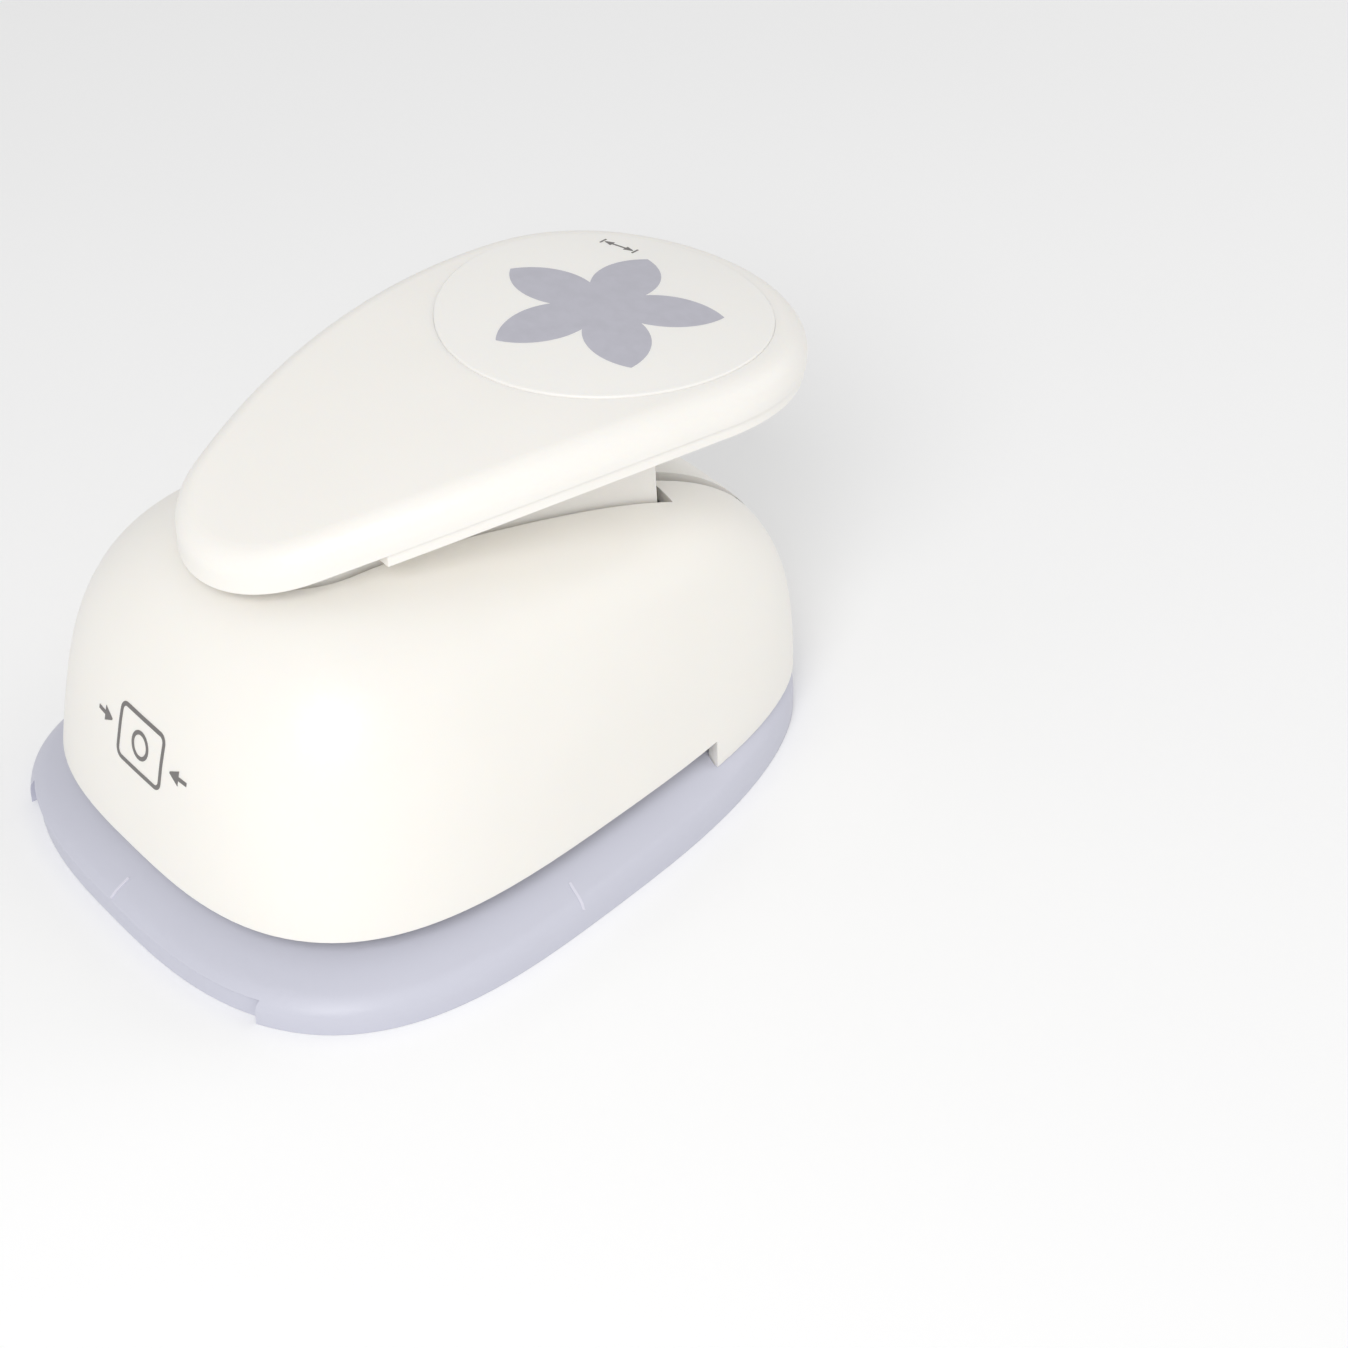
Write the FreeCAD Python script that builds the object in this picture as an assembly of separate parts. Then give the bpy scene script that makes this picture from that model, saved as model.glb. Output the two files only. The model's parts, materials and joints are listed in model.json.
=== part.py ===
import FreeCAD, Part
import bisect
import math
import os

os.makedirs("parts", exist_ok=True)

# Lever craft punch that cuts a five-petal flower. Millimetres, +Z up.
# The parts are drawn about the middle of the base on the table, with the paper going in at the
# front, towards -Y. They are saved moved by SAVE_SHIFT_Y, so that the origin is the middle of
# the whole outline seen from above, lever included.
SAVE_SHIFT_Y = -1.905

# Overall outline of the base: an egg that is wider towards the front
BASE_HALF_LENGTH = 65.0
BASE_HALF_WIDTH = 46.96
EGG_TAPER = -0.291
EGG_POWER = 2.9
BASE_FRONT_POWER = 2.78
HOUSING_REAR_POWER = 3.3
EGG_TRACE = 4000
EGG_POINTS = 32

# Heights of the stack
HOUSING_SEAT_Z = 7.5
POCKET_Z = 9.4
PAPER_Z = 11.2
PAPER_GAP = 1.2
GUIDE_THICKNESS = 2.0
GUIDE_Z = PAPER_Z + PAPER_GAP
GUIDE_TOP_Z = GUIDE_Z + GUIDE_THICKNESS
HOUSING_EDGE_Z = 12.7
STEP_Y = 30.8
SKIRT_WALL = 2.6
SHOULDER_Z = 4.6
SHOULDER_RADIUS = 4.0
SHOULDER_TURN = math.radians(60.4)
FRONT_FLARE = 0.6
REAR_FLARE = 3.6
RECESS_HALF_WIDTH = 34.9
RECESS_HEIGHT = 4.2
RECESS_DEPTH = 1.3

# Dome of the housing
WALL = 2.4
DOME_HALF_WIDTH = 41.7
DOME_MIDDLE_Y = 3.8
DOME_FRONT = 63.3
DOME_REAR = 61.1
DOME_CREST_Z = 56.36
DOME_SLOPE = -0.1524
DOME_BEND = 0.0027
DOME_CROWN = 0.0072
DOME_SIDE_POWER = 2 / 4.6
DOME_RISE_POWER = 2 / 3.63
DOME_SHIFT = 2.4
DOME_DRAFT = 0.056
DOME_LEVELS = (0, 7, 15, 25, 36, 47, 57, 66, 74, 80, 84, 86.5)

# Lever: wide end over the rear, narrow end over the axle
PAD_Y = 35.2
PAD_RADIUS = 32.8
NOSE_RADIUS = 19.3
NOSE_Y = PAD_Y - 59.1
FLANK_RADIUS = 151.7
LEVER_TOP_Z = 77.07
LEVER_SLOPE = -0.049
LEVER_ARCH = 0.0056
LEVER_CROWN = 0.0021
LEVER_EDGE_RADIUS = 4.6
RIM_DROP = 5.3
RIM_DROP_SLOPE = -0.0107
COVER_WALL = 2.2
PAN_GAP = 0.3
PAN_THICKNESS = 2.0
PAN_INSET = 0.45
PAN_NOSE_Y = -22.0
PAN_NOSE_INSET = 3.6
MEDALLION_RADIUS = 27.5
MEDALLION_RAISE = 0.4
MEDALLION_DEPTH = 0.9

# Neck of the lever pan and the opening it moves in
NECK_HALF_WIDTH = 14.05
NECK_WALL = 2.0
NECK_REAR_Y = 35.0
OPENING_GAP = 0.75
OPENING_REAR_Y = 37.6
RIB_X = 7.6
RIB_THICKNESS = 1.6
RIB_SLOT_WIDTH = 2.8
RIB_SLOT_REAR_Y = 58.0

# Hinge and press linkage
AXLE_Y = NOSE_Y
AXLE_Z = 46.5
AXLE_RADIUS = 2.5
PRESS_ARM = 17.0
PRESS_ANGLE = math.radians(15)
PIN_Y = AXLE_Y + PRESS_ARM * math.cos(PRESS_ANGLE / 2)
PIN_Z = AXLE_Z + PRESS_ARM * math.sin(PRESS_ANGLE / 2)
PIN_RADIUS = 3.5
CHANNEL_HALF_WIDTH = 10.3
CHANNEL_SHEET = 1.5
BRACKET_X = 15.0
BRACKET_SHEET = 2.0

# Flower cut and the punch train
FLOWER_Y = -7.8
FLOWER_RADIUS = 33.4
FLOWER_ANGLE = 48.5
PRINT_RADIUS = 19.7
RUNNING_GAP = 0.08
CUTTER_REST_Z = 12.9
CARRIER_Z = 28.9
CARRIER_THICKNESS = 5.0
CARRIER_TOP_Z = CARRIER_Z + CARRIER_THICKNESS
CARRIER_RADIUS = 33.0
STRIKE_THICKNESS = 1.5
STRIKE_TOP_Z = PIN_Z - PIN_RADIUS - 0.05
PLUNGER_RADIUS = 8.0
GUIDE_PIN_RADIUS = 2.0
GUIDE_PIN_TOP_Z = 37.5
BUSH_RADIUS = 3.25

# Screws: shank, head radius, head height
SHANK = 1.5
HEAD = 2.8
HEAD_HEIGHT = 1.7
HOLE_GAP = 0.06

FRAME_SCREWS = ((-13, 38), (13, 38), (-8, 47), (8, 47))
HOUSING_SCREWS = ((-24, 40), (24, 40), (0, 57.3))
COVER_SCREWS = ((-29, -37), (29, -37))
BRACKET_SCREW = (20.3, -33.5)
LEVER_SCREWS = ((-21, 28), (21, 28), (-15, 54), (15, 54))
CHANNEL_SCREWS = ((0, -18), (0, 24))
PUNCH_SCREW_RADIUS = 10.9


def point(x, y, z=0.0):
    return FreeCAD.Vector(x, y, z)


def box(x0, x1, y0, y1, z0, z1):
    return Part.makeBox(x1 - x0, y1 - y0, z1 - z0, point(x0, y0, z0))


def post(radius, z0, z1, x, y):
    return Part.makeCylinder(radius, z1 - z0, point(x, y, z0))


def rod(radius, x0, x1, y, z):
    """Cylinder along X."""
    return Part.makeCylinder(radius, x1 - x0, point(x0, y, z), point(1, 0, 0))


def prism(face, z0, z1):
    """Solid from a face drawn at z = 0."""
    low = face.copy()
    low.translate(point(0, 0, z0))
    return low.extrude(point(0, 0, z1 - z0))


def side_plate(outline, x0, x1):
    """Solid from a closed outline of (y, z) points, between two values of x."""
    corners = [point(x0, y, z) for y, z in outline]
    wire = Part.makePolygon(corners + corners[:1])
    return Part.Face(wire).extrude(point(x1 - x0, 0, 0))


def fuse(first, *others):
    return first.fuse(list(others)).removeSplitter()


def both_sides(shape):
    return [shape, shape.mirror(point(0, 0, 0), point(1, 0, 0))]


def save(name, shapes):
    """Write one node; a list becomes a group of separate solids."""
    group = shapes if isinstance(shapes, list) else [shapes]
    solids = [solid for shape in group for solid in shape.Solids]
    body = solids[0].copy() if len(solids) == 1 else Part.makeCompound(solids)
    body.translate(point(0, SAVE_SHIFT_Y))
    body.exportStep("parts/" + name + ".step")


# ---------------------------------------------------------------- outlines

def egg_curve(half_width, front, rear, middle_y, height, front_power, rear_power):
    """Closed smooth egg; front and rear are its reach from middle_y, height(x, y) its z."""
    trace = []
    for step in range(EGG_TRACE + 1):
        angle = 2 * math.pi * step / EGG_TRACE - math.pi / 2
        power = rear_power if math.sin(angle) > 0 else front_power
        along = math.copysign(abs(math.sin(angle)) ** (2 / power), math.sin(angle))
        across = math.copysign(abs(math.cos(angle)) ** (2 / power), math.cos(angle))
        x = half_width * across * (1 + EGG_TAPER * along)
        trace.append((x, middle_y + (rear if along > 0 else front) * along))
    lengths = [0.0]
    for before, after in zip(trace, trace[1:]):
        lengths.append(lengths[-1] + math.dist(before, after))
    points = []
    for i in range(EGG_POINTS):
        x, y = trace[bisect.bisect_left(lengths, lengths[-1] * i / EGG_POINTS)]
        points.append(point(x, y, height(x, y)))
    knots = [i / EGG_POINTS for i in range(EGG_POINTS + 1)]
    curve = Part.BSplineCurve()
    curve.interpolate(Points=points, PeriodicFlag=True, Parameters=knots)
    return Part.Wire(curve.toShape())


def base_egg(side, front, rear, z=0.0):
    """Outline of the base drawn in by the three insets, at height z."""
    front_reach = BASE_HALF_LENGTH - front
    rear_reach = BASE_HALF_LENGTH - rear
    reach = (front_reach + rear_reach) / 2
    middle = (rear_reach - front_reach) / 2
    half_width = BASE_HALF_WIDTH - side
    return egg_curve(half_width, reach, reach, middle, lambda x, y: z, BASE_FRONT_POWER, EGG_POWER)


def teardrop_face(inset):
    """Lever outline: two circles joined by tangent flank arcs, moved inwards by inset."""
    span = PAD_Y - NOSE_Y
    to_pad = FLANK_RADIUS - PAD_RADIUS
    to_nose = FLANK_RADIUS - NOSE_RADIUS
    centre_y = -(span ** 2 + to_pad ** 2 - to_nose ** 2) / (2 * span)
    centre_x = -math.sqrt(to_pad ** 2 - centre_y ** 2)
    pad_angle = math.atan2(-centre_y, -centre_x)
    nose_angle = math.atan2(-span - centre_y, -centre_x)
    flank = FLANK_RADIUS - inset

    def flank_point(angle, side):
        x = centre_x + flank * math.cos(angle)
        return point(side * x, PAD_Y + centre_y + flank * math.sin(angle))

    pad_right = flank_point(pad_angle, 1)
    pad_left = flank_point(pad_angle, -1)
    nose_right = flank_point(nose_angle, 1)
    nose_left = flank_point(nose_angle, -1)
    middle = (pad_angle + nose_angle) / 2
    arcs = [
        Part.Arc(pad_right, point(0, PAD_Y + PAD_RADIUS - inset), pad_left),
        Part.Arc(pad_left, flank_point(middle, -1), nose_left),
        Part.Arc(nose_left, point(0, NOSE_Y - NOSE_RADIUS + inset), nose_right),
        Part.Arc(nose_right, flank_point(middle, 1), pad_right),
    ]
    return Part.Face(Part.Wire([arc.toShape() for arc in arcs]))


def neck_face(half_width, rear_y):
    """U-shaped outline of the lever neck: straight sides, round front about the nose."""
    right_rear = point(half_width, rear_y)
    left_rear = point(-half_width, rear_y)
    right_front = point(half_width, NOSE_Y)
    left_front = point(-half_width, NOSE_Y)
    edges = [
        Part.makeLine(right_front, right_rear),
        Part.makeLine(right_rear, left_rear),
        Part.makeLine(left_rear, left_front),
        Part.Arc(left_front, point(0, NOSE_Y - half_width), right_front).toShape(),
    ]
    return Part.Face(Part.Wire(edges))


def flower_face(radius, x, y, inset=0.0):
    """Five pointed petals; each petal flank is one arc from a notch to the tip."""
    edges = []
    arc_radius = 0.577 * radius - inset

    def flank_arc(direction, side):
        # local frame of one petal: along its axis, and across it
        centre = (0.510 * radius, -0.304 * radius)
        notch_angle = math.radians(36)
        # where the flank circle meets the petal axis, and the notch line
        tip = centre[0] + math.sqrt(arc_radius ** 2 - centre[1] ** 2)
        unit = (math.cos(notch_angle), math.sin(notch_angle))
        along = centre[0] * unit[0] + centre[1] * unit[1]
        away = centre[0] ** 2 + centre[1] ** 2 - arc_radius ** 2
        notch = along + math.sqrt(along ** 2 - away)
        start = (notch * unit[0], notch * unit[1])
        end = (tip, 0.0)
        lean = (math.atan2(start[1] - centre[1], start[0] - centre[0])
                + math.atan2(-centre[1], tip - centre[0])) / 2
        bulge = (centre[0] + arc_radius * math.cos(lean), centre[1] + arc_radius * math.sin(lean))

        def place(spot):
            across = side * spot[1]
            return point(x + spot[0] * math.cos(direction) - across * math.sin(direction),
                         y + spot[0] * math.sin(direction) + across * math.cos(direction))

        return [place(start), place(bulge), place(end)]

    for petal in range(5):
        direction = math.radians(FLOWER_ANGLE + 72 * petal)
        a, b, c = flank_arc(direction, -1)
        edges.append(Part.Arc(a, b, c).toShape())
        a, b, c = flank_arc(direction, 1)
        edges.append(Part.Arc(c, b, a).toShape())
    return Part.Face(Part.Wire(edges))


# ---------------------------------------------------------------- base

def skirt_profile():
    """Rows of height and inset: an upright rim, a rounded shoulder, then a straight slope."""
    start = SHOULDER_Z - SHOULDER_RADIUS * math.tan(SHOULDER_TURN / 2)
    rows = [(0.0, 0.0), (start / 2, 0.0), (start, 0.0)]
    for step in range(1, 6):
        angle = SHOULDER_TURN * step / 5
        rows.append((start + SHOULDER_RADIUS * math.sin(angle), SHOULDER_RADIUS * (1 - math.cos(angle))))
    shoulder_z, shoulder_inset = rows[-1]
    for step in range(1, 5):
        rise = (PAPER_Z - shoulder_z) * step / 4
        rows.append((shoulder_z + rise, shoulder_inset + rise * math.tan(SHOULDER_TURN)))
    return rows


def skirt(inset):
    """Flared body of the base drawn in by inset. The rear stays upright up to the housing's seat."""
    wires = []
    for z, flare in skirt_profile():
        front = flare + FRONT_FLARE * min(1.0, flare)
        above_seat = max(0.0, z - HOUSING_SEAT_Z + 0.3)
        rear = REAR_FLARE * (above_seat / (PAPER_Z - HOUSING_SEAT_Z + 0.3)) ** 1.2
        wires.append(base_egg(flare + inset, front + inset, rear + inset, z))
    return Part.makeLoft(wires, True, False)


def dome(offset):
    """Solid inside the dome's surface moved outwards by offset, from below the seat up."""
    wires = []
    for level in (None,) + DOME_LEVELS:
        angle = math.radians(level or 0)
        rise = math.sin(angle) ** DOME_RISE_POWER if level else 0.0
        size = math.cos(angle) ** DOME_SIDE_POWER * (1 - DOME_DRAFT * rise)
        last = level == DOME_LEVELS[-1]

        def height(x, y):
            if level is None:
                return HOUSING_SEAT_Z - 3
            bend = 0.3 if last else DOME_BEND * y * y / 2 + DOME_CROWN * x * x / 2
            crest = DOME_CREST_Z + offset + DOME_SLOPE * y - bend
            return HOUSING_SEAT_Z + (crest - HOUSING_SEAT_Z) * rise

        wires.append(egg_curve(
            (DOME_HALF_WIDTH + offset) * size,
            (DOME_FRONT + offset) * size,
            (DOME_REAR + offset) * size,
            DOME_MIDDLE_Y + DOME_SHIFT * rise,
            height,
            EGG_POWER,
            HOUSING_REAR_POWER,
        ))
    return Part.makeLoft(wires, True, False)


def plate_face(gap=0.0):
    """Outline of the steel plates, narrow at the rear between the screw towers."""
    face = Part.Face(base_egg(13.2 - gap, 14.2 - gap, 12.5 - gap))
    side = box(18.5 + gap, 60, 33 + gap, 70, -1, 1)
    for corner in both_sides(side):
        face = face.cut(corner)
    return face.Faces[0]


def pin_spots():
    """Guide pins: three in the notches between petals, two in front of the neck."""
    spots = []
    for notch in (-36, 36, 108):
        angle = math.radians(FLOWER_ANGLE + notch)
        spots.append((27 * math.cos(angle), FLOWER_Y + 27 * math.sin(angle)))
    spots.append((-10.5, FLOWER_Y - 33.5))
    spots.append((10.5, FLOWER_Y - 33.5))
    return spots


def base_tray():
    hollow = skirt(SKIRT_WALL).common(box(-80, 80, -80, 80, -1, HOUSING_SEAT_Z - 0.2))
    tray = skirt(0).cut(hollow)
    towers = [post(4.4, 0.8, PAPER_Z, x, y) for x, y in HOUSING_SCREWS]
    towers += [post(4.0, 0.8, POCKET_Z, x, y) for x, y in FRAME_SCREWS]
    ribs = []
    for step in range(10):
        rib = box(35.5, 75, -0.8, 0.8, 1.2, HOUSING_SEAT_Z)
        rib.rotate(point(0, 0, 0), point(0, 0, 1), FLOWER_ANGLE - 18 + 36 * step)
        rib.translate(point(0, FLOWER_Y, 0))
        ribs.append(rib)
    inside = skirt(1.0)
    tray = fuse(tray, *[item.common(inside) for item in towers + ribs])
    tray = tray.cut(prism(plate_face(0.15), POCKET_Z, PAPER_Z + 1))
    chute = flower_face(FLOWER_RADIUS + 2.0, 0, FLOWER_Y)
    tray = tray.cut(prism(chute, -1, PAPER_Z + 1))
    wall = dome(0.15).cut(dome(-WALL - 0.15))
    tray = tray.cut(wall.common(box(-80, 80, STEP_Y - 0.2, 80, HOUSING_SEAT_Z, 30)))
    recess = box(-RECESS_HALF_WIDTH, RECESS_HALF_WIDTH, -80, -40, -1, RECESS_HEIGHT)
    tray = tray.cut(recess.cut(prism(Part.Face(base_egg(RECESS_DEPTH, RECESS_DEPTH, 0)), -2, 9)))
    for x, y in HOUSING_SCREWS:
        tray = tray.cut(post(HEAD + 0.3, -1, 5, x, y))
        tray = tray.cut(post(SHANK + HOLE_GAP, 0, PAPER_Z + 1, x, y))
    for x, y in FRAME_SCREWS:
        tray = tray.cut(post(SHANK + HOLE_GAP, 2.5, PAPER_Z, x, y))
    return tray


def flat_plate(z0, thickness):
    """Steel plate with the flower cut-out and the frame screw holes."""
    plate = prism(plate_face(), z0, z0 + thickness)
    plate = plate.cut(prism(flower_face(FLOWER_RADIUS, 0, FLOWER_Y), z0 - 1, z0 + 5))
    for x, y in FRAME_SCREWS:
        plate = plate.cut(post(SHANK + HOLE_GAP, z0 - 1, z0 + 5, x, y))
    return plate


def die_plate():
    return flat_plate(POCKET_Z, PAPER_Z - POCKET_Z)


def countersink(x, y, gap):
    cone = Part.makeCone(HEAD + gap, SHANK + gap, 1.4, point(x, y, GUIDE_Z))
    return cone.fuse(post(SHANK + gap, GUIDE_Z, 22, x, y))


def guide_plate():
    plate = flat_plate(GUIDE_Z, GUIDE_THICKNESS)
    for x, y in COVER_SCREWS:
        plate = plate.cut(countersink(x, y, HOLE_GAP))
    for x, y in pin_spots():
        plate = plate.cut(post(GUIDE_PIN_RADIUS, GUIDE_Z - 1, GUIDE_TOP_Z + 1, x, y))
    x, y = BRACKET_SCREW
    for hole in both_sides(post(SHANK + HOLE_GAP, GUIDE_Z - 1, GUIDE_TOP_Z + 1, x, y)):
        plate = plate.cut(hole)
    return plate


def paper_stop():
    rear = prism(plate_face(), PAPER_Z, GUIDE_Z).common(box(-60, 60, STEP_Y + 0.4, 80, 0, 20))
    for x, y in FRAME_SCREWS:
        rear = rear.cut(post(SHANK + HOLE_GAP, 0, 20, x, y))
    return rear


# ---------------------------------------------------------------- housing

def housing_cover():
    outer = dome(0)
    shell = outer.cut(dome(-WALL))
    posts = [post(4.0, PAPER_Z + 0.1, 60, x, y) for x, y in HOUSING_SCREWS]
    posts += [post(3.6, GUIDE_TOP_Z + 0.05, 60, x, y) for x, y in COVER_SCREWS]
    shell = fuse(shell, *[item.common(outer) for item in posts])
    shell = shell.cut(box(-80, 80, -80, 80, -20, HOUSING_SEAT_Z))
    shell = shell.cut(box(-80, 80, -80, STEP_Y, -20, HOUSING_EDGE_Z))
    opening = neck_face(NECK_HALF_WIDTH + OPENING_GAP, OPENING_REAR_Y)
    shell = shell.cut(prism(opening, 25, 80))
    inner = RIB_X - RIB_SLOT_WIDTH / 2
    for slot in both_sides(box(inner, inner + RIB_SLOT_WIDTH, OPENING_REAR_Y - 1, RIB_SLOT_REAR_Y, 25, 80)):
        shell = shell.cut(slot)
    for x, y in HOUSING_SCREWS:
        shell = shell.cut(post(SHANK + HOLE_GAP, 0, 24, x, y))
    for x, y in COVER_SCREWS:
        shell = shell.cut(post(SHANK + HOLE_GAP, 0, 24, x, y))
    return shell


# ---------------------------------------------------------------- screws

def screw(x, y, seat_z, end_z):
    """Pan-head screw whose head bears on seat_z; end_z below the seat points down, above it up."""
    down = end_z < seat_z
    head_z = seat_z if down else seat_z - HEAD_HEIGHT
    head = post(HEAD, head_z, head_z + HEAD_HEIGHT, x, y)
    outer_z = head_z + HEAD_HEIGHT if down else head_z
    rim = [edge for edge in head.Edges if abs(edge.CenterOfMass.z - outer_z) < 0.01]
    head = head.makeFillet(0.5, [edge for edge in rim if edge.Length > 6])
    low = min(seat_z, end_z)
    slot_z = head_z + HEAD_HEIGHT - 0.8 if down else head_z - 0.2
    cross = [box(x - 1.7, x + 1.7, y - 0.3, y + 0.3, slot_z, slot_z + 1.0),
             box(x - 0.3, x + 0.3, y - 1.7, y + 1.7, slot_z, slot_z + 1.0)]
    shank = post(SHANK, low, max(seat_z, end_z), x, y)
    body = fuse(head, shank)
    for slot in cross:
        body = body.cut(slot)
    return body


def flush_screw(x, y):
    body = countersink(x, y, 0).removeSplitter()
    for slot in (box(x - 1.6, x + 1.6, y - 0.3, y + 0.3, GUIDE_Z - 1, GUIDE_Z + 0.8),
                 box(x - 0.3, x + 0.3, y - 1.6, y + 1.6, GUIDE_Z - 1, GUIDE_Z + 0.8)):
        body = body.cut(slot)
    return body


# ---------------------------------------------------------------- punch train

def carrier_part():
    disc = post(CARRIER_RADIUS, CARRIER_Z, CARRIER_TOP_Z, 0, FLOWER_Y)
    tab = box(-14.2, 14.2, -46.5, -25, CARRIER_Z, CARRIER_TOP_Z)
    plate = fuse(disc, tab)
    for relief in both_sides(box(14.2, 60, -60, -29.2, 0, 60)):
        plate = plate.cut(relief)
    for x, y in pin_spots():
        plate = plate.cut(post(BUSH_RADIUS, 0, 60, x, y))
    for x, y in punch_screw_spots():
        plate = plate.cut(post(SHANK + HOLE_GAP, 0, 60, x, y))
    return plate


def punch_screw_spots():
    spots = []
    for step in range(3):
        angle = math.radians(FLOWER_ANGLE + 120 * step)
        spots.append((PUNCH_SCREW_RADIUS * math.cos(angle), FLOWER_Y + PUNCH_SCREW_RADIUS * math.sin(angle)))
    return spots


def punch_block():
    block = prism(flower_face(FLOWER_RADIUS, 0, FLOWER_Y, RUNNING_GAP), CUTTER_REST_Z, CARRIER_Z)
    block = block.cut(post(8.0, CUTTER_REST_Z + 5, CARRIER_Z + 1, 0, FLOWER_Y))
    for x, y in punch_screw_spots():
        block = block.cut(post(SHANK + HOLE_GAP, CARRIER_Z - 9, 60, x, y))
    return block


def guide_bush(x, y):
    outer = post(BUSH_RADIUS, CARRIER_Z, CARRIER_TOP_Z, x, y)
    outer = outer.fuse(post(BUSH_RADIUS + 0.9, CARRIER_TOP_Z, CARRIER_TOP_Z + 1, x, y))
    return outer.removeSplitter().cut(post(GUIDE_PIN_RADIUS + 0.05, 0, 60, x, y))


def press_plunger():
    foot = post(13.8, CARRIER_TOP_Z, CARRIER_TOP_Z + 2.5, 0, FLOWER_Y)
    tower = post(PLUNGER_RADIUS, CARRIER_TOP_Z, STRIKE_TOP_Z - STRIKE_THICKNESS, 0, FLOWER_Y)
    body = fuse(foot, tower)
    for x, y in punch_screw_spots():
        body = body.cut(post(SHANK + HOLE_GAP, 0, 60, x, y))
    return body.cut(post(4.5, CARRIER_TOP_Z - 1, STRIKE_TOP_Z - 4.5, 0, FLOWER_Y))


def strike_plate():
    plate = post(PLUNGER_RADIUS, STRIKE_TOP_Z - STRIKE_THICKNESS, STRIKE_TOP_Z, 0, FLOWER_Y)
    rim = [edge for edge in plate.Edges if abs(edge.CenterOfMass.z - STRIKE_TOP_Z) < 0.01]
    return plate.makeChamfer(0.4, rim)


def return_spring(x, y):
    wire_radius = 0.45
    low = GUIDE_TOP_Z + wire_radius + 0.1
    high = CARRIER_Z - wire_radius - 0.1
    turns = 6
    path = Part.makeHelix((high - low) / turns, high - low, 3.1)
    path.translate(point(x, y, low))
    ring = Part.makeCircle(wire_radius, point(x + 3.1, y, low), point(0, 1, 0))
    return Part.Wire(path).makePipeShell([Part.Wire(ring)], True, True)


# ---------------------------------------------------------------- hinge

def pivot_bracket():
    """Right-hand bracket: a foot on the guide plate and an upright with the axle eye."""
    outline = [(-37, GUIDE_TOP_Z), (-30, GUIDE_TOP_Z), (-30, 35), (AXLE_Y + 5, AXLE_Z - 1),
               (AXLE_Y + 4, AXLE_Z + 3), (AXLE_Y - 4, AXLE_Z + 3), (-37, 36)]
    upright = side_plate(outline, BRACKET_X, BRACKET_X + BRACKET_SHEET)
    eye = rod(5, BRACKET_X, BRACKET_X + BRACKET_SHEET, AXLE_Y, AXLE_Z)
    foot = box(BRACKET_X, 24, -37, -30, GUIDE_TOP_Z, GUIDE_TOP_Z + BRACKET_SHEET)
    body = fuse(upright, eye, foot)
    body = body.cut(rod(AXLE_RADIUS, 0, 40, AXLE_Y, AXLE_Z))
    x, y = BRACKET_SCREW
    return body.cut(post(SHANK + HOLE_GAP, 0, 30, x, y))


def lever_axle():
    pin = rod(AXLE_RADIUS, -18.4, 18.4, AXLE_Y, AXLE_Z)
    groove = rod(4, 17.1, 17.8, AXLE_Y, AXLE_Z).cut(rod(2.0, 0, 40, AXLE_Y, AXLE_Z))
    for side in both_sides(groove):
        pin = pin.cut(side)
    return pin


def axle_clip():
    ring = rod(4.2, 17.15, 17.75, AXLE_Y, AXLE_Z).cut(rod(2.04, 0, 40, AXLE_Y, AXLE_Z))
    return ring.cut(box(0, 40, AXLE_Y - 1.5, AXLE_Y + 1.5, AXLE_Z - 9, AXLE_Z))


def lever_bush():
    tube = rod(3.5, CHANNEL_HALF_WIDTH - CHANNEL_SHEET, 14.9, AXLE_Y, AXLE_Z)
    flange = rod(5, NECK_HALF_WIDTH + 0.05, 14.9, AXLE_Y, AXLE_Z)
    return fuse(tube, flange).cut(rod(AXLE_RADIUS + 0.05, 0, 40, AXLE_Y, AXLE_Z))


# ---------------------------------------------------------------- lever

def lever_top(x, y):
    """Height of the lever's crowned and arched top surface."""
    along = y - PAD_Y
    return LEVER_TOP_Z + LEVER_SLOPE * along - LEVER_ARCH * along ** 2 / 2 - LEVER_CROWN * x * x / 2


def rim_drop(y):
    return RIM_DROP + RIM_DROP_SLOPE * (y - PAD_Y)


def below_top(drop):
    """Everything under the lever's top surface lowered by drop(y)."""
    rows = []
    for i in range(-4, 5):
        x = 9.5 * i
        rows.append([point(x, y, lever_top(x, y) - drop(y)) for y in range(-50, 79, 8)])
    surface = Part.BSplineSurface()
    surface.interpolate(rows)
    return surface.toShape().extrude(point(0, 0, -90))


def under(extra):
    return below_top(lambda y: extra)


def under_rim(extra):
    return below_top(lambda y: rim_drop(y) + extra)


def underside_z(x, y):
    return lever_top(x, y) - rim_drop(y) - PAN_GAP - PAN_THICKNESS


def is_on_top(edge, raised):
    """True for an edge that lies on the lever's top surface raised by that much."""
    spot = edge.valueAt((edge.FirstParameter + edge.LastParameter) / 2)
    return abs(spot.z - raised - lever_top(spot.x, spot.y)) < 0.1


def lever_cover():
    outer = prism(teardrop_face(0), 30, 95).common(under(0)).cut(under_rim(0))
    outer = outer.makeFillet(LEVER_EDGE_RADIUS, [edge for edge in outer.Edges if is_on_top(edge, 0)])
    shell = outer.cut(prism(teardrop_face(COVER_WALL), 30, 95).common(under(COVER_WALL)))
    posts = []
    for x, y in LEVER_SCREWS + CHANNEL_SCREWS:
        column = post(3.2, 40, 90, x, y).common(under(1.2)).cut(under_rim(PAN_GAP - 0.05))
        seat = underside_z(x, y) + PAN_THICKNESS
        posts.append(column.cut(post(SHANK + HOLE_GAP, 40, seat + 4.0, x, y)))
    shell = fuse(shell, *posts)
    return shell.cut(post(MEDALLION_RADIUS + 0.03, 40, 95, 0, PAD_Y).cut(under(MEDALLION_DEPTH)))


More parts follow.
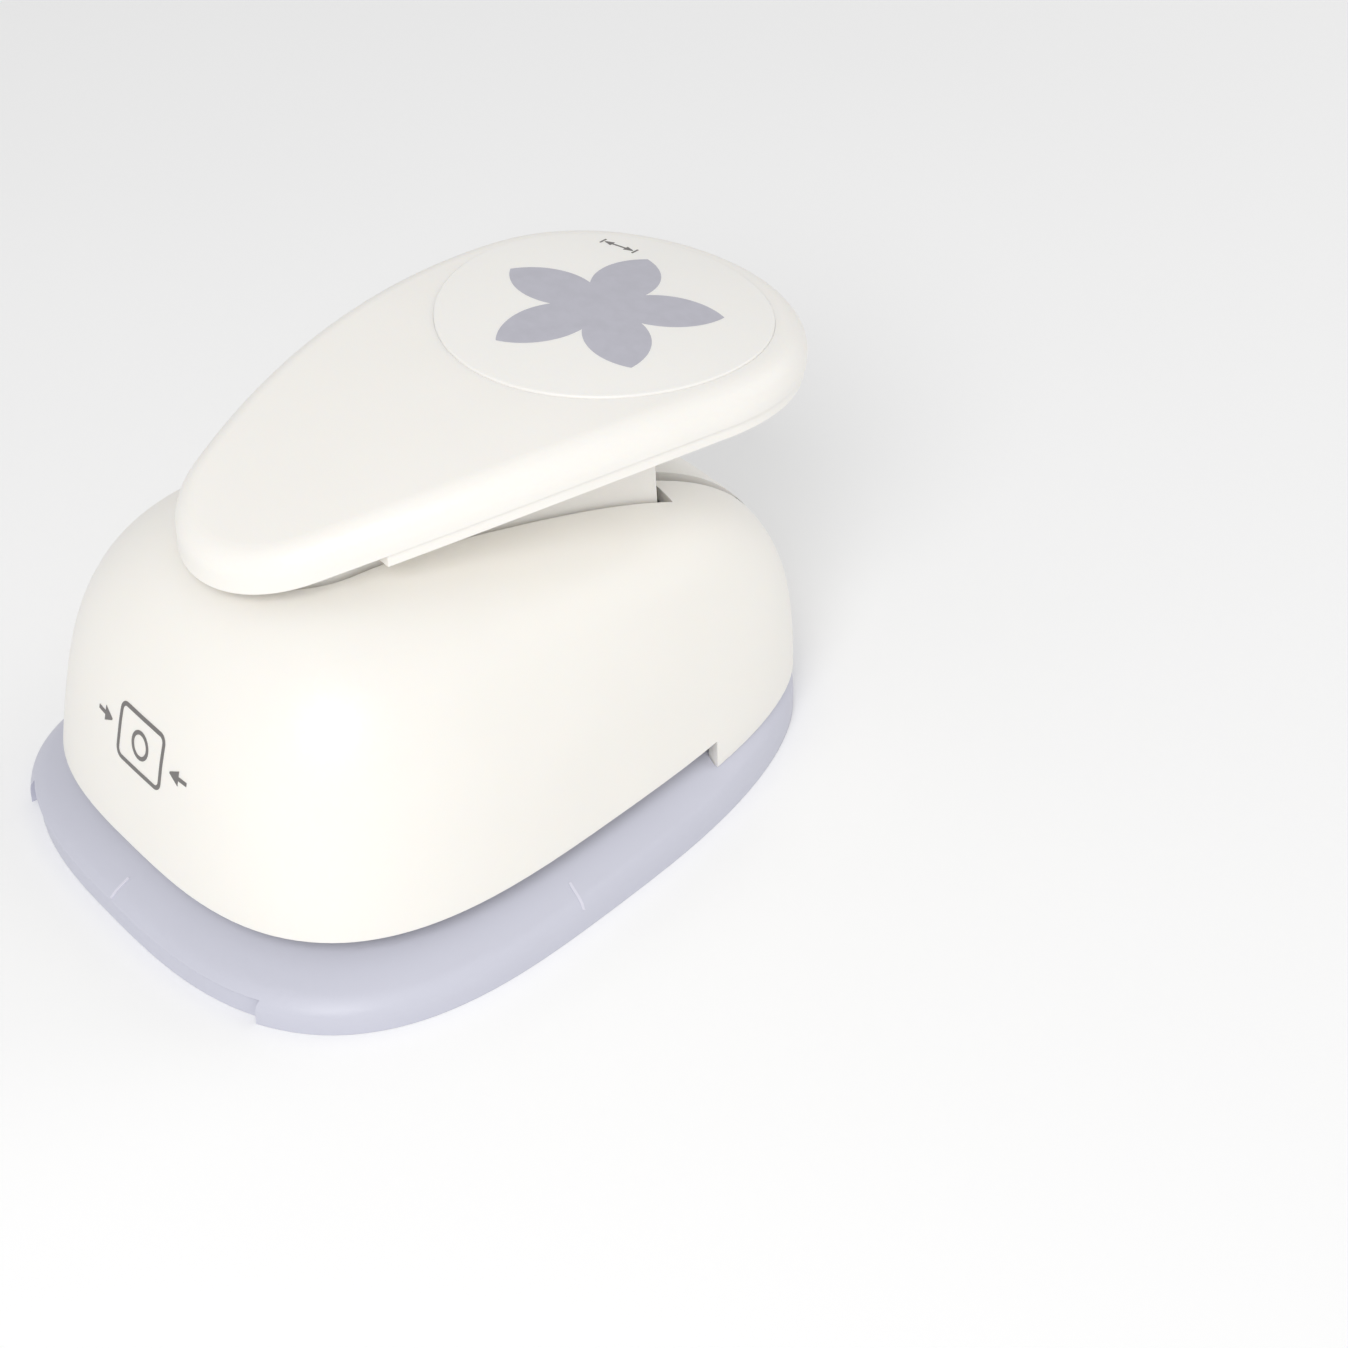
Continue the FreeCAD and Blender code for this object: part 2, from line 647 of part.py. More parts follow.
def medallion_disc():
    disc = post(MEDALLION_RADIUS, 40, 95, 0, PAD_Y).common(under(-MEDALLION_RAISE))
    disc = disc.cut(under(MEDALLION_DEPTH))
    rim = [edge for edge in disc.Edges if is_on_top(edge, MEDALLION_RAISE)]
    return disc.makeFillet(0.3, rim).cut(flower_inlay())


def flower_inlay():
    print_face = flower_face(PRINT_RADIUS, 0, PAD_Y - 0.5)
    return prism(print_face, 40, 95).common(under(-MEDALLION_RAISE)).cut(under(-0.1))


def web_z(y):
    """Top of the channel's web, a straight slope under the arched pan."""
    return 58.5 + 0.158 * (y + 29)


def channel_boss(x, y):
    """Boss from the underside of the pan down to the sloping web."""
    above_web = side_plate([(y - 6, web_z(y - 6)), (y + 6, web_z(y + 6)), (y + 6, 90), (y - 6, 90)], -6, 6)
    return post(4.0, 50, underside_z(x, y) + 1, x, y).common(above_web)


def lever_pan():
    behind_nose = box(-60, 60, PAN_NOSE_Y, 90, 20, 99)
    outline = prism(teardrop_face(PAN_INSET), 30, 95).common(behind_nose)
    outline = outline.fuse(prism(teardrop_face(PAN_NOSE_INSET), 30, 95)).removeSplitter()
    plate = outline.common(under_rim(PAN_GAP)).cut(under_rim(PAN_GAP + PAN_THICKNESS))
    tongue = prism(teardrop_face(COVER_WALL + 0.15).cut(teardrop_face(COVER_WALL + 1.4)), 30, 95)
    tongue = tongue.common(under_rim(-1.6)).cut(under_rim(PAN_GAP + 0.5)).common(behind_nose)
    neck = prism(neck_face(NECK_HALF_WIDTH, NECK_REAR_Y + 5), 30, 95)
    neck = neck.cut(prism(neck_face(NECK_HALF_WIDTH - NECK_WALL, NECK_REAR_Y + 9), 20, 99))
    profile = [(-50, 40), (-18, 40), (-13, 43.5), (NECK_REAR_Y, 43.5), (NECK_REAR_Y, 46),
               (NECK_REAR_Y - 1.3, 70), (NECK_REAR_Y - 1.3, 90), (-50, 90)]
    neck = neck.common(side_plate(profile, -30, 30)).common(under_rim(PAN_GAP + 1))
    rib = box(RIB_X - RIB_THICKNESS / 2, RIB_X + RIB_THICKNESS / 2, 34, 56, 30, 95)
    rib = rib.common(under_rim(PAN_GAP + 1)).cut(under_rim(PAN_GAP + 7.2))
    bosses = [channel_boss(x, y) for x, y in CHANNEL_SCREWS]
    pan = fuse(plate, tongue, neck, *both_sides(rib), *bosses)
    for hole in both_sides(rod(3.5, 10, 30, AXLE_Y, AXLE_Z)):
        pan = pan.cut(hole)
    for x, y in LEVER_SCREWS:
        pan = pan.cut(post(HEAD + 0.3, 30, lever_seat_z(x, y), x, y))
    for x, y in LEVER_SCREWS + CHANNEL_SCREWS:
        pan = pan.cut(post(SHANK + HOLE_GAP, 30, 90, x, y))
    return pan


def lever_seat_z(x, y):
    return underside_z(x, y) + 0.8


def lever_channel():
    flange = [(-29, web_z(-29) - 0.2), (33, web_z(33) - 0.2), (33, 64.5), (-1.5, 46.5),
              (PIN_Y, PIN_Z - 6), (AXLE_Y, AXLE_Z - 5.5), (AXLE_Y - 5.5, AXLE_Z)]
    inner_x = CHANNEL_HALF_WIDTH - CHANNEL_SHEET
    side = side_plate(flange, inner_x, CHANNEL_HALF_WIDTH)
    for centre_y, centre_z, radius in ((AXLE_Y, AXLE_Z, 5.5), (PIN_Y, PIN_Z, 6.0)):
        side = side.fuse(rod(radius, inner_x, CHANNEL_HALF_WIDTH, centre_y, centre_z))
    web = side_plate([(-29, web_z(-29)), (33, web_z(33)), (33, web_z(33) - CHANNEL_SHEET),
                      (-29, web_z(-29) - CHANNEL_SHEET)], -CHANNEL_HALF_WIDTH, CHANNEL_HALF_WIDTH)
    channel = fuse(web, *both_sides(side))
    channel = channel.cut(rod(3.5, -20, 20, AXLE_Y, AXLE_Z))
    channel = channel.cut(rod(PIN_RADIUS, -20, 20, PIN_Y, PIN_Z))
    for x, y in CHANNEL_SCREWS:
        channel = channel.cut(post(SHANK + HOLE_GAP, 30, 90, x, y))
    return channel


def channel_seat_z(y):
    """Lowest point of the sloping web under a screw head."""
    return web_z(y) - CHANNEL_SHEET - 0.158 * HEAD - 0.05


def build():
    save("base_tray", base_tray())
    save("die_plate", die_plate())
    save("paper_stop", paper_stop())
    save("guide_plate", guide_plate())
    save("housing_cover", housing_cover())
    save("guide_pins", [post(GUIDE_PIN_RADIUS, GUIDE_Z + 0.1, GUIDE_PIN_TOP_Z, x, y) for x, y in pin_spots()])
    bracket, mirrored = both_sides(pivot_bracket())
    save("pivot_bracket_right", bracket)
    save("pivot_bracket_left", mirrored)
    save("lever_axle", lever_axle())
    save("axle_clips", both_sides(axle_clip()))
    save("frame_screws", [screw(x, y, GUIDE_TOP_Z, 4) for x, y in FRAME_SCREWS])
    save("housing_screws", [screw(x, y, 5, 22) for x, y in HOUSING_SCREWS])
    save("cover_screws", [flush_screw(x, y) for x, y in COVER_SCREWS])
    x, y = BRACKET_SCREW
    save("bracket_screws", both_sides(screw(x, y, GUIDE_TOP_Z + BRACKET_SHEET, GUIDE_Z + 0.3)))
    save("punch_block", punch_block())
    save("punch_carrier", carrier_part())
    save("guide_bushes", [guide_bush(x, y) for x, y in pin_spots()])
    save("press_plunger", press_plunger())
    save("strike_plate", strike_plate())
    save("punch_screws", [screw(x, y, CARRIER_TOP_Z + 2.5, CARRIER_Z - 8) for x, y in punch_screw_spots()])
    save("return_springs", [return_spring(x, y) for x, y in pin_spots()])
    save("lever_cover", lever_cover())
    save("lever_pan", lever_pan())
    save("lever_channel", lever_channel())
    save("lever_bushes", both_sides(lever_bush()))
    save("press_pin", rod(PIN_RADIUS, -CHANNEL_HALF_WIDTH, CHANNEL_HALF_WIDTH, PIN_Y, PIN_Z))
    save("medallion_disc", medallion_disc())
    save("flower_inlay", flower_inlay())
    lever_screws = []
    for x, y in LEVER_SCREWS:
        lever_screws.append(screw(x, y, lever_seat_z(x, y), lever_seat_z(x, y) + 3.6))
    save("lever_screws", lever_screws)
    channel_screws = []
    for x, y in CHANNEL_SCREWS:
        channel_screws.append(screw(x, y, channel_seat_z(y), underside_z(x, y) + PAN_THICKNESS + 3.0))
    save("channel_screws", channel_screws)


build()
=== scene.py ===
import json
import math

import bmesh
import bpy
from mathutils import Matrix, Vector


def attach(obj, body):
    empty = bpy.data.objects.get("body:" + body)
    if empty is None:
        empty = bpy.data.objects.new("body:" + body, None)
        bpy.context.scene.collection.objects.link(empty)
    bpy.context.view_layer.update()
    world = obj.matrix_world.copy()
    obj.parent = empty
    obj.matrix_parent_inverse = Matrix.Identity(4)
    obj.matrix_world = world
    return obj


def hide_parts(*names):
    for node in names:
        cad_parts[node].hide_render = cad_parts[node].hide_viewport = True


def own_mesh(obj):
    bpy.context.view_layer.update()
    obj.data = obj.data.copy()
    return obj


# Sizes and places are in millimetres until they are multiplied by MM; angles are in degrees.
MM = 0.001

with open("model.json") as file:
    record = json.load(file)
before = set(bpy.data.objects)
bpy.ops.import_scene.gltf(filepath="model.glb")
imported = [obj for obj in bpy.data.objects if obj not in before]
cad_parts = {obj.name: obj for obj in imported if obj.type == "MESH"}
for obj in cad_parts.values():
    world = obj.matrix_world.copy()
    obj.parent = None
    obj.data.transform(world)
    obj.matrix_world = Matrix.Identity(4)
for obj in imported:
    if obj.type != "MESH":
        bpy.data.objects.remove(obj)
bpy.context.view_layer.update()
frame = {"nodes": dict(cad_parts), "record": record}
nodes = frame["nodes"]

# The middle of the base lies here along Y; the frame's origin is the middle of the whole outline
BASE_MIDDLE_Y = -1.905

# Camera: direction it looks from, and where the middle of the base lies in its view
CAMERA_AZIMUTH = 52.06
CAMERA_ELEVATION = 36.05
CAMERA_LENS = 89.75
CAMERA_SHIFT = Vector((-38.94, -16.09, 567.9)) * MM

# Lights: azimuth, elevation, distance and diameter in metres, watts
KEY_LIGHT = (44, 42, 0.9, 0.45, 3.3)
REAR_LIGHT = (165, 30, 0.9, 0.6, 0.9)
SKY_STRENGTH = 0.64
FLOOR_HALF_SIZE = 4.0
FLOOR_DROP = 0.05

# CAD edges sharper than this stay sharp
SHARP_ANGLE = 30

# Ribbons that make up the marks: spacing of their sections, how deep they sit, crown of the top
RIBBON_STEP = 0.5
RIBBON_SINK = 0.12
RIBBON_CROWN = 1.15
PRINT_HEIGHT = 0.05

# Pictogram on the housing front: x and z of its middle, then a sheet, a hole and two arrows
PICTOGRAM_PLACE = (0.5, 31.5)
SHEET_HALF_SIZE = (6.2, 4.6)
SHEET_CORNER = 1.3
SHEET_LINE = 0.75
HOLE_RADIUS = 2.1
HOLE_LINE = 0.7
ARROW_SHAFT = (13.0, 10.8)
ARROW_SHAFT_LINE = 0.7
ARROW_HEAD = (10.9, 8.6)
ARROW_HEAD_LINE = (2.6, 0.3)

# Double arrow on the medallion: x and y of its middle, turn, then shaft, heads and end bars
SIZE_ARROW_PLACE = (-16.6, 48.8)
SIZE_ARROW_TURN = 18.5
SIZE_SHAFT_HALF = 1.4
SIZE_SHAFT_LINE = 0.35
SIZE_HEAD = (1.3, 2.8)
SIZE_HEAD_LINE = (1.4, 0.2)
SIZE_BAR_X = 3.2
SIZE_BAR_HALF = 0.9
SIZE_BAR_LINE = 0.3

# Ridges on the skirt
RIDGE_LINE = 0.5
RIDGE_HEIGHT = 0.14
FRONT_RIDGE_Y = (-62.3, -65.8)
SIDE_RIDGE_X = (44.2, 47.9)
SIDE_RIDGE_Y = -8.0

# Return springs on the guide pins
FLOWER_ANGLE = 48.5
FLOWER_Y = -7.8 + BASE_MIDDLE_Y
PIN_CIRCLE = 27.0
PIN_NOTCHES = (-36, 36, 108)
FRONT_PIN_X = 10.5
FRONT_PIN_REACH = 33.5
SPRING_LOW_Z = 14.45
SPRING_HIGH_Z = 28.8
SPRING_RADIUS = 3.1
SPRING_TURNS = 6
SPRING_STEPS = 20
WIRE_RADIUS = 0.45
WIRE_SIDES = 8

# Colours, linear
IVORY = (0.91, 0.885, 0.835)
LEVER_IVORY = (0.915, 0.89, 0.845)
DISC_WHITE = (0.925, 0.905, 0.865)
LAVENDER = (0.585, 0.59, 0.675)
PRINT_GREY = (0.49, 0.485, 0.545)
MARK_GREY = (0.17, 0.16, 0.155)
# the base's lavender painted lighter for the skirt ridges: a painted highlight
RIDGE_HIGHLIGHT_LAVENDER = (0.70, 0.69, 0.78)


# ---------------------------------------------------------------- node helpers

def socket_set(node, values):
    """Set a node's inputs by name."""
    for key, value in values.items():
        node.inputs[key].default_value = value


class Shader:
    """A material under construction: adds nodes and wires them."""

    def __init__(self, name):
        self.material = bpy.data.materials.new(name)
        self.material.use_nodes = True
        self.tree = self.material.node_tree
        self.tree.nodes.clear()
        output = self.tree.nodes.new("ShaderNodeOutputMaterial")
        self.surface = self.tree.nodes.new("ShaderNodeBsdfPrincipled")
        self.link(self.surface.outputs["BSDF"], output.inputs["Surface"])
        self.place = self.tree.nodes.new("ShaderNodeTexCoord").outputs["Object"]

    def link(self, source, target):
        self.tree.links.new(source, target)

    def noise(self, per_metre, detail=3.0, stretch=(1, 1, 1)):
        mapping = self.tree.nodes.new("ShaderNodeMapping")
        mapping.inputs["Scale"].default_value = stretch
        self.link(self.place, mapping.inputs["Vector"])
        texture = self.tree.nodes.new("ShaderNodeTexNoise")
        socket_set(texture, {"Scale": per_metre, "Detail": detail, "Roughness": 0.55})
        self.link(mapping.outputs["Vector"], texture.inputs["Vector"])
        return texture.outputs["Fac"]

    def range(self, source, from_low, from_high, to_low, to_high):
        node = self.tree.nodes.new("ShaderNodeMapRange")
        socket_set(node, {"From Min": from_low, "From Max": from_high,
                          "To Min": to_low, "To Max": to_high})
        self.link(source, node.inputs["Value"])
        return node.outputs["Result"]

    def mix(self, factor, first, second):
        node = self.tree.nodes.new("ShaderNodeMix")
        node.data_type = "RGBA"
        # the colour sockets of a mix node are inputs 6 and 7, its colour result is output 2
        for value, socket in ((first, node.inputs[6]), (second, node.inputs[7])):
            if isinstance(value, tuple):
                socket.default_value = (*value[:3], 1.0)
            else:
                self.link(value, socket)
        self.link(factor, node.inputs[0])
        return node.outputs[2]

    def edge_mask(self, radius_mm):
        """1 on sharp edges, 0 on flat faces."""
        bevel = self.tree.nodes.new("ShaderNodeBevel")
        bevel.samples = 4
        bevel.inputs["Radius"].default_value = radius_mm * MM
        geometry = self.tree.nodes.new("ShaderNodeNewGeometry")
        dot = self.tree.nodes.new("ShaderNodeVectorMath")
        dot.operation = "DOT_PRODUCT"
        self.link(bevel.outputs["Normal"], dot.inputs[0])
        self.link(geometry.outputs["Normal"], dot.inputs[1])
        return self.range(dot.outputs["Value"], 0.995, 0.90, 0.0, 1.0)

    def bump(self, heights):
        """heights: list of (height socket, distance in mm)."""
        normal = None
        for source, distance_mm in heights:
            node = self.tree.nodes.new("ShaderNodeBump")
            socket_set(node, {"Strength": 1.0, "Distance": distance_mm * MM})
            self.link(source, node.inputs["Height"])
            if normal is not None:
                self.link(normal, node.inputs["Normal"])
            normal = node.outputs["Normal"]
        self.link(normal, self.surface.inputs["Normal"])


def tint(colour, factor):
    """A colour made lighter or darker."""
    return tuple(min(1.0, channel * factor) for channel in colour)


def moulded_plastic(name, colour, roughness, grain_mm, translucency=0.0):
    """Injection-moulded plastic: fine spark-eroded grain, faint flow clouds and a painted highlight on
    sharp edges.
    """
    shader = Shader(name)
    clouds = shader.noise(28.0, 2.0)
    shade = shader.mix(shader.range(clouds, 0.3, 0.7, 0.0, 1.0), tint(colour, 0.985), tint(colour, 1.01))
    # sharp edges are painted lighter: a painted highlight where light catches them
    edge = shader.edge_mask(0.35)
    painted_edge_highlight = shader.range(edge, 0.0, 1.0, 0.0, 0.35)
    shade = shader.mix(painted_edge_highlight, shade, tint(colour, 1.06))
    shader.link(shade, shader.surface.inputs["Base Color"])
    smudge = shader.noise(60.0, 4.0)
    shader.link(shader.range(smudge, 0.25, 0.75, roughness - 0.05, roughness + 0.06),
                shader.surface.inputs["Roughness"])
    socket_set(shader.surface, {"IOR": 1.49})
    if translucency:
        socket_set(shader.surface, {"Subsurface Weight": translucency, "Subsurface Scale": 0.002,
                                    "Subsurface Radius": (1.0, 0.8, 0.55)})
    shader.bump([(shader.noise(1900.0, 2.0), grain_mm), (shader.noise(90.0, 1.0), 0.02)])
    return shader.material


def printed_ink(name, colour):
    """Flat pad-printed ink with a faint uneven cover."""
    shader = Shader(name)
    cover = shader.noise(420.0, 3.0)
    uneven = shader.range(cover, 0.35, 0.65, 0.0, 1.0)
    shader.link(shader.mix(uneven, tint(colour, 0.97), tint(colour, 1.03)),
                shader.surface.inputs["Base Color"])
    shader.link(shader.range(cover, 0.3, 0.7, 0.38, 0.50), shader.surface.inputs["Roughness"])
    shader.bump([(shader.noise(2400.0, 2.0), 0.004)])
    return shader.material


def steel(name, colour, roughness, stretch, wear=0.5):
    """Bare or plated steel with a directional grain; stretch squeezes the grain along one axis."""
    shader = Shader(name)
    grain = shader.noise(900.0, 5.0, stretch)
    edge = shader.edge_mask(0.2)
    shade = shader.mix(shader.range(grain, 0.3, 0.7, 0.0, 1.0), tint(colour, 0.88), tint(colour, 1.06))
    shade = shader.mix(shader.range(edge, 0.0, 1.0, 0.0, wear), shade, tint(colour, 1.3))
    shader.link(shade, shader.surface.inputs["Base Color"])
    shader.link(shader.range(grain, 0.2, 0.8, roughness - 0.08, roughness + 0.12),
                shader.surface.inputs["Roughness"])
    socket_set(shader.surface, {"Metallic": 1.0})
    shader.bump([(grain, 0.006)])
    return shader.material


MATERIALS = {
    "base_plastic": moulded_plastic("base_plastic", LAVENDER, 0.42, 0.010),
    "housing_plastic": moulded_plastic("housing_plastic", IVORY, 0.36, 0.006, 0.15),
    "lever_plastic": moulded_plastic("lever_plastic", LEVER_IVORY, 0.38, 0.006, 0.15),
    "medallion_plastic": moulded_plastic("medallion_plastic", DISC_WHITE, 0.34, 0.004, 0.10),
    "print_grey": printed_ink("print_grey", PRINT_GREY),
    "print_dark": printed_ink("print_dark", MARK_GREY),
    "mark_ridge": moulded_plastic("mark_ridge", RIDGE_HIGHLIGHT_LAVENDER, 0.40, 0.004),
    "plate_steel": steel("plate_steel", (0.56, 0.57, 0.58), 0.30, (1, 0.05, 1)),
    "cutter_steel": steel("cutter_steel", (0.42, 0.43, 0.44), 0.26, (1, 1, 0.05)),
    "sheet_steel": steel("sheet_steel", (0.52, 0.53, 0.54), 0.36, (1, 0.2, 1)),
    "pin_steel": steel("pin_steel", (0.60, 0.61, 0.62), 0.20, (0.06, 1, 1)),
    "screw_steel": steel("screw_steel", (0.50, 0.51, 0.52), 0.30, (1, 1, 1)),
    "bush_brass": steel("bush_brass", (0.62, 0.43, 0.16), 0.28, (1, 1, 0.2)),
    "carrier_plastic": moulded_plastic("carrier_plastic", (0.035, 0.035, 0.038), 0.5, 0.02),
}


def paint(obj, finish):
    """Give an object one of the materials as its only one."""
    obj.data.materials.clear()
    obj.data.materials.append(MATERIALS[finish])


def smooth_cad(obj):
    """Smooth shading, broken at the real edges."""
    for polygon in obj.data.polygons:
        polygon.use_smooth = True
    modifier = obj.modifiers.new("weighted", "WEIGHTED_NORMAL")
    modifier.keep_sharp = True
    obj.data.set_sharp_from_angle(angle=math.radians(SHARP_ANGLE))


SLOTS = {part["node"]: part["material_slot"] for part in frame["record"]["subparts"]}
for node, slot_name in SLOTS.items():
    paint(nodes[node], slot_name)
    smooth_cad(nodes[node])


# ---------------------------------------------------------------- printed and moulded marks

def surface_point(obj, origin, direction):
    """Where a ray meets a CAD piece at rest, and the outward normal there."""
    found, spot, normal, _ = obj.ray_cast(Vector(origin) * MM, Vector(direction))
    if not found:
        raise ValueError("the mark misses " + obj.name)
    return spot, normal


def resample(points, step, closed):
    """Evenly spaced points along a polyline."""
    corners = [Vector(spot) for spot in points]
    if closed:
        corners.append(corners[0])
    out = []
    for start, end in zip(corners, corners[1:]):
        count = max(1, round((end - start).length / step))
        out += [start.lerp(end, i / count) for i in range(count)]
    if not closed:
        out.append(corners[-1])
    return out


def ring_points(centre, radius, count=40):
    """Points round a circle."""
    return [(centre[0] + radius * math.cos(2 * math.pi * i / count),
             centre[1] + radius * math.sin(2 * math.pi * i / count)) for i in range(count)]


def rounded_sheet(centre, half_width, half_height, radius):
    """Outline of a sheet with rounded corners."""
    points = []
    for quarter, (side_x, side_y) in enumerate(((1, 1), (-1, 1), (-1, -1), (1, -1))):
        for step in range(7):
            angle = math.radians(90 * quarter + 15 * step)
            points.append((centre[0] + side_x * (half_width - radius) + radius * math.cos(angle),
                           centre[1] + side_y * (half_height - radius) + radius * math.sin(angle)))
    return points


def stroke(target, lift, points, width, height, closed=False):
    """Closed raised ribbon that follows a surface.

    points are in a flat drawing, width is one number or (start, end),
    and lift(u, v) gives the ray that carries a drawing point on to the target.
    """
    path = resample(points, RIBBON_STEP, closed)
    count = len(path)
    start_width, end_width = width if isinstance(width, tuple) else (width, width)
    section = ((-1, -RIBBON_SINK), (1, -RIBBON_SINK), (1, height), (0, height * RIBBON_CROWN), (-1, height))
    corners = len(section)
    verts = []
    for i, spot in enumerate(path):
        before = path[i - 1] if closed or i else spot
        after = path[(i + 1) % count] if closed or i < count - 1 else spot
        along = (after - before).normalized()
        across = Vector((-along.y, along.x))
        half = (start_width + (end_width - start_width) * i / (count - 1)) / 2
        for side, level in section:
            place = spot + across * (side * half)
            hit, normal = surface_point(target, *lift(place.x, place.y))
            verts.append(hit + normal * level * MM)
    faces = []
    for i in range(count if closed else count - 1):
        j = (i + 1) % count
        for k in range(corners):
            after = (k + 1) % corners
            faces.append((corners * i + k, corners * i + after, corners * j + after, corners * j + k))
    if not closed:
        faces.append(tuple(reversed(range(corners))))
        faces.append(tuple(range(corners * (count - 1), corners * count)))
    return verts, faces


def add_piece(name, body, finish, pieces):
    """One mesh from several closed forms, riding on a body.

    finish is the material shown.
    """
    verts, faces = [], []
    for piece_verts, piece_faces in pieces:
        faces += [tuple(index + len(verts) for index in face) for face in piece_faces]
        verts += piece_verts
    mesh = bpy.data.meshes.new(name)
    mesh.from_pydata(verts, [], faces)
    bm = bmesh.new()
    bm.from_mesh(mesh)
    bmesh.ops.recalc_face_normals(bm, faces=bm.faces)
    bm.to_mesh(mesh)
    bm.free()
    obj = bpy.data.objects.new(name, mesh)
    bpy.context.scene.collection.objects.link(obj)
    paint(obj, finish)
    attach(obj, body)
    return obj


def feed_pictogram():
    """Printed sheet with a round hole and two arrows, on the front of the housing."""
    target = nodes["housing_cover"]

    def lift(u, v):
        return (u, -120, v), (0, 1, 0)

    def draw(points, width, closed=False):
        return stroke(target, lift, points, width, PRINT_HEIGHT, closed)

    x, z = PICTOGRAM_PLACE
    pieces = [
        draw(rounded_sheet((x, z), *SHEET_HALF_SIZE, SHEET_CORNER), SHEET_LINE, True),
        draw(ring_points((x, z), HOLE_RADIUS), HOLE_LINE, True),
    ]
    for side in (-1, 1):
        for ends, width in ((ARROW_SHAFT, ARROW_SHAFT_LINE), (ARROW_HEAD, ARROW_HEAD_LINE)):
            pieces.append(draw([(x + side * end, z) for end in ends], width))
    add_piece("feed_pictogram", "base", "print_dark", pieces)


def size_arrow():
    """Printed double-headed arrow beside the flower, the generic sign for a width."""
    target = nodes["medallion_disc"]
    turn = math.radians(SIZE_ARROW_TURN)

    def lift(u, v):
        x = SIZE_ARROW_PLACE[0] + u * math.cos(turn) - v * math.sin(turn)
        y = SIZE_ARROW_PLACE[1] + u * math.sin(turn) + v * math.cos(turn)
        return (x, y, 150), (0, 0, -1)

    def draw(points, width):
        return stroke(target, lift, points, width, PRINT_HEIGHT)

    pieces = [draw([(-SIZE_SHAFT_HALF, 0), (SIZE_SHAFT_HALF, 0)], SIZE_SHAFT_LINE)]
    for side in (-1, 1):
        bar_x = side * SIZE_BAR_X
        pieces.append(draw([(side * end, 0) for end in SIZE_HEAD], SIZE_HEAD_LINE))
        pieces.append(draw([(bar_x, -SIZE_BAR_HALF), (bar_x, SIZE_BAR_HALF)], SIZE_BAR_LINE))
    add_piece("size_arrow", "lever", "print_dark", pieces)


def centre_marks():
    """Fine moulded ridges on the skirt that show where the flower is centred; their lighter lavender is a
    painted highlight.
    """
    target = nodes["base_tray"]

    def lift(u, v):
        return (u, v, 40), (0, 0, -1)

    lines = [[(0, y) for y in FRONT_RIDGE_Y]]
    lines += [[(side * x, SIDE_RIDGE_Y) for x in SIDE_RIDGE_X] for side in (-1, 1)]
    pieces = [stroke(target, lift, line, RIDGE_LINE, RIDGE_HEIGHT) for line in lines]
    add_piece("centre_marks", "base", "mark_ridge", pieces)


def spring_spots():
    """Axes of the five guide pins that carry the return springs."""
    spots = []
    for notch in PIN_NOTCHES:
        angle = math.radians(FLOWER_ANGLE + notch)
        spots.append((PIN_CIRCLE * math.cos(angle), FLOWER_Y + PIN_CIRCLE * math.sin(angle)))
    return spots + [(side * FRONT_PIN_X, FLOWER_Y - FRONT_PIN_REACH) for side in (-1, 1)]


def coil(centre_x, centre_y):
    """Closed helical wire between the guide plate and the carrier."""
    low = SPRING_LOW_Z + WIRE_RADIUS
    rise = SPRING_HIGH_Z - WIRE_RADIUS - low
    count = SPRING_TURNS * SPRING_STEPS
    verts, faces = [], []
    for i in range(count + 1):
        turn = 2 * math.pi * i / SPRING_STEPS
        outward = Vector((math.cos(turn), math.sin(turn), 0))
        middle = Vector((centre_x, centre_y, low + rise * i / count)) + outward * SPRING_RADIUS
        for k in range(WIRE_SIDES):
            angle = 2 * math.pi * k / WIRE_SIDES
            wire = outward * math.cos(angle) + Vector((0, 0, 1)) * math.sin(angle)
            verts.append((middle + wire * WIRE_RADIUS) * MM)
    for i in range(count):
        for k in range(WIRE_SIDES):
            a, b = WIRE_SIDES * i + k, WIRE_SIDES * i + (k + 1) % WIRE_SIDES
            faces.append((a, b, b + WIRE_SIDES, a + WIRE_SIDES))
    faces.append(tuple(range(WIRE_SIDES)))
    faces.append(tuple(range(WIRE_SIDES * count, WIRE_SIDES * (count + 1))))
    return verts, faces


def return_springs():
    """Coils that stand for the rigid CAD springs."""
    slot_name = SLOTS["return_springs"]
    coils = [coil(x, y) for x, y in spring_spots()]
    obj = add_piece("spring_coils", "base", slot_name, coils)
    for polygon in obj.data.polygons:
        polygon.use_smooth = len(polygon.vertices) == 4
    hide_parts("return_springs")
    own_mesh(obj)


feed_pictogram()
size_arrow()
centre_marks()
return_springs()


# ---------------------------------------------------------------- studio

